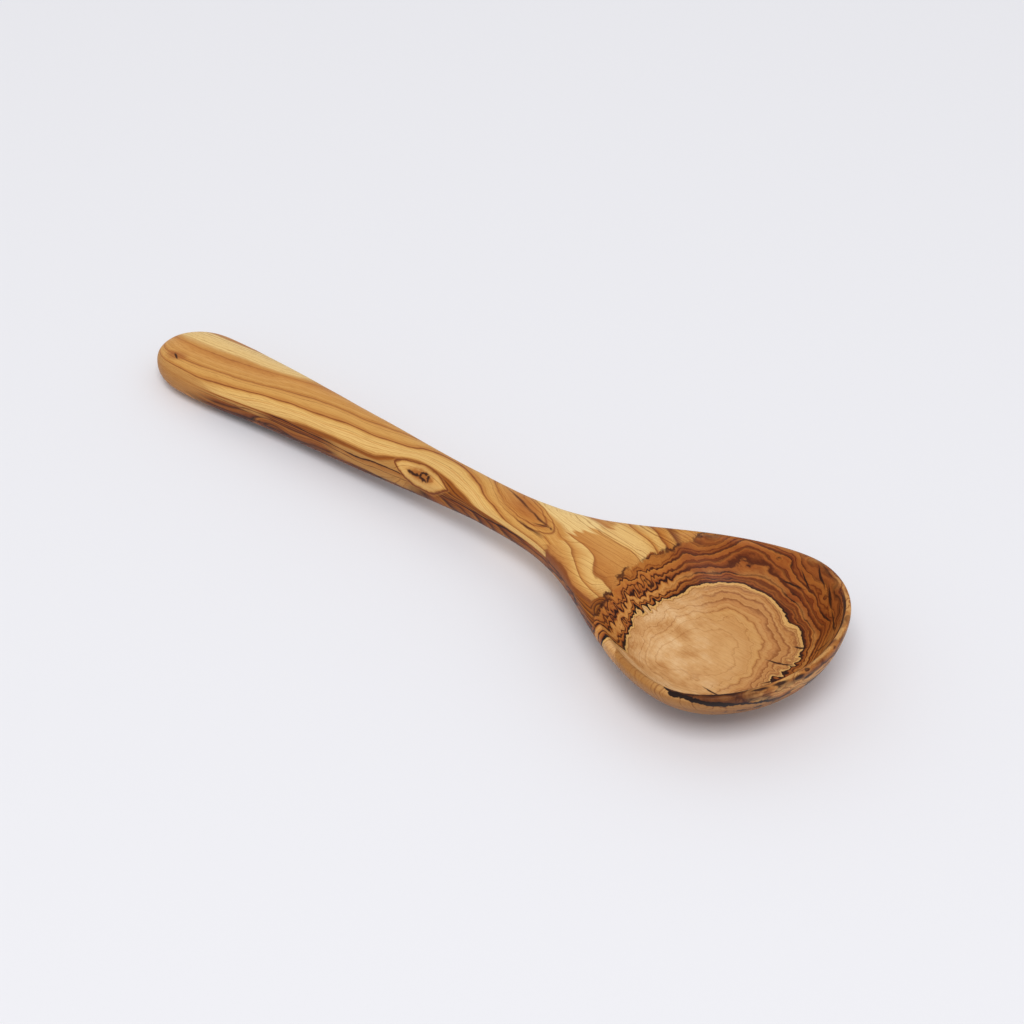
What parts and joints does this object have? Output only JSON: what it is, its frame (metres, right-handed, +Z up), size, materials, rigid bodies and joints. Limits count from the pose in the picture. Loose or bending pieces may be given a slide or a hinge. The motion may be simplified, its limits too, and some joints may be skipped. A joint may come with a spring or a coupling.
{
  "type": "ladle",
  "caption": "Wooden ladle carved in one piece: a long flattened handle with a rounded end, a slim neck that flares out, and a deep round bowl with a thin lip.",
  "frame": {"origin": "on the table below the middle of the ladle's length, on its plane of symmetry", "axes": "+X along the ladle towards the tip of the bowl, +Y across it, +Z up out of the hollow of the bowl"},
  "size_m": [0.3, 0.085, 0.0282],
  "materials": {
    "olive_wood": "sanded smooth and oiled to a satin finish, with dark flowing grain"
  },
  "bodies": {
    "root": {"ladle": "olive_wood"}
  },
  "joints": []
}
